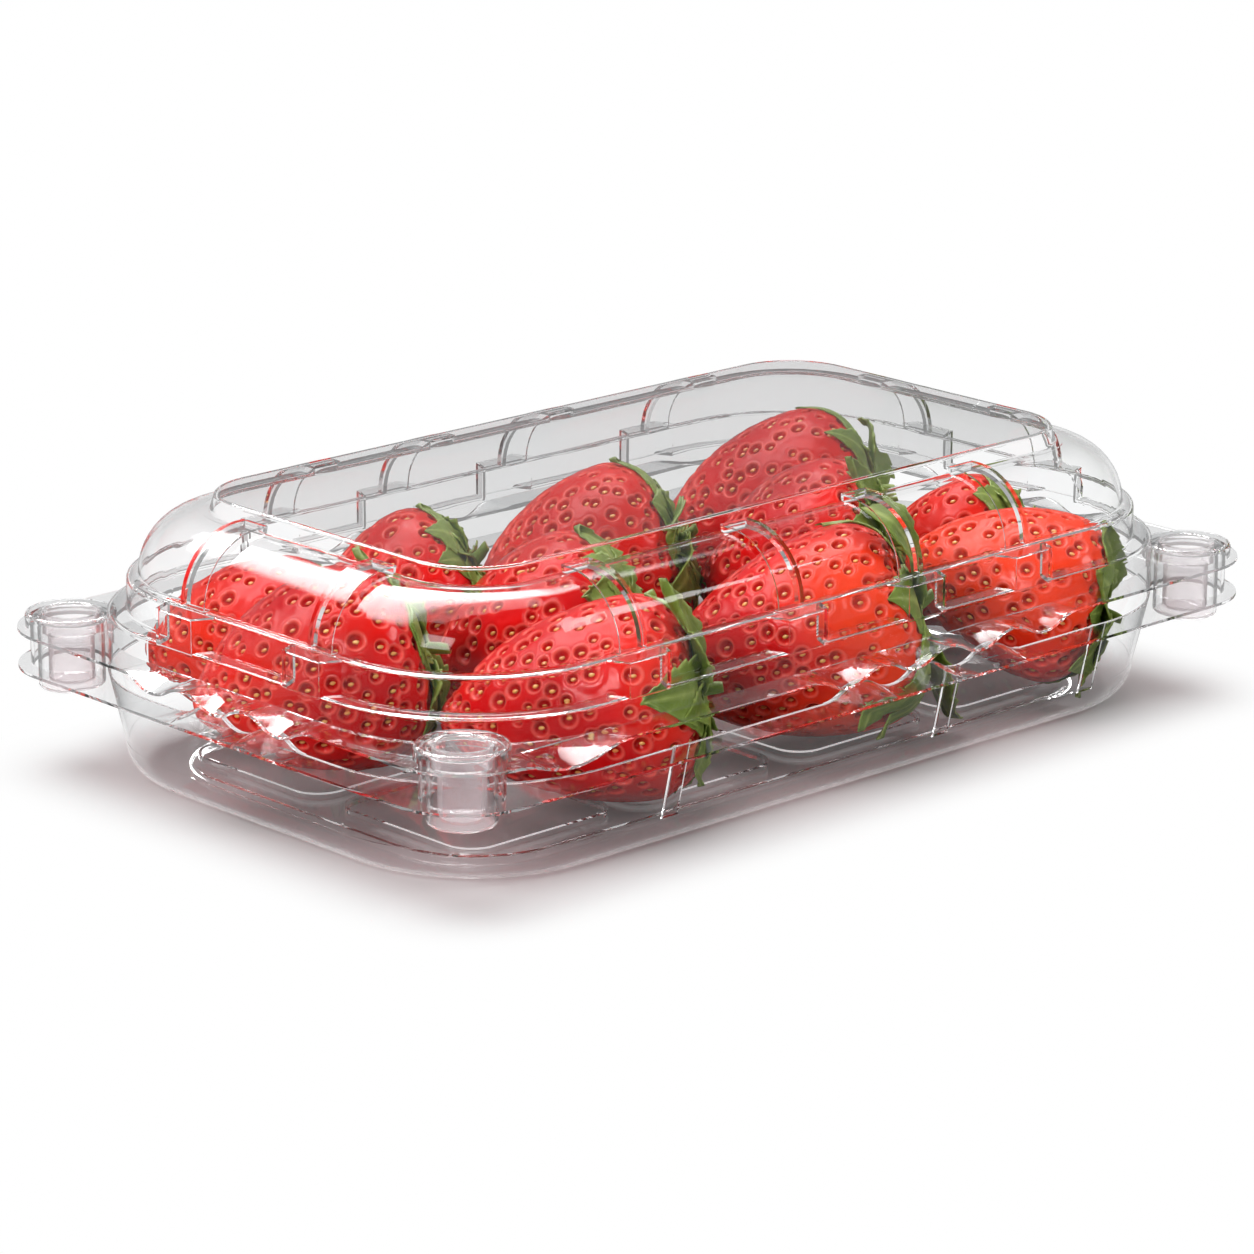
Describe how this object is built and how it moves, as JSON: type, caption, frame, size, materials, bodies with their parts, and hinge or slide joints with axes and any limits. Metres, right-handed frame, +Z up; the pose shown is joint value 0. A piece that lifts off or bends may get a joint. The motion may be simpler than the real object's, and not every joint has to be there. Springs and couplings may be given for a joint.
{
  "type": "fruit punnet",
  "caption": "Clear snap-lid plastic punnet with stepped lid, ribs and corner snaps, filled with ripe strawberries.",
  "frame": {"origin": "bottom centre of the punnet, on the surface it stands on, at the middle of its bounding box", "axes": "+X along the long sides, +Y along the short sides, away from the front, +Z up"},
  "size_m": [0.187, 0.116, 0.0471],
  "materials": {
    "clear_sheet": "clear thermoformed sheet, glossy",
    "berry_skin": "glossy ripe fruit skin with yellow seeds",
    "green_leaf": "soft matt leaf"
  },
  "bodies": {
    "tray": {"tray": "clear_sheet", "strawberry_1": "berry_skin", "strawberry_2": "berry_skin", "strawberry_3": "berry_skin", "strawberry_4": "berry_skin", "strawberry_5": "berry_skin", "strawberry_6": "berry_skin", "strawberry_7": "berry_skin", "strawberry_8": "berry_skin", "strawberry_9": "berry_skin", "strawberry_10": "berry_skin", "strawberry_11": "berry_skin", "calyx_1": "green_leaf", "calyx_2": "green_leaf", "calyx_3": "green_leaf", "calyx_4": "green_leaf", "calyx_5": "green_leaf", "calyx_6": "green_leaf", "calyx_7": "green_leaf", "calyx_8": "green_leaf", "calyx_9": "green_leaf", "calyx_10": "green_leaf", "calyx_11": "green_leaf"},
    "lid": {"lid": "clear_sheet"}
  },
  "joints": [
    {"name": "lid_lift", "type": "slide", "parent": "tray", "child": "lid", "axis": [0, 0, 1], "range_m": [0, 0.08]}
  ]
}
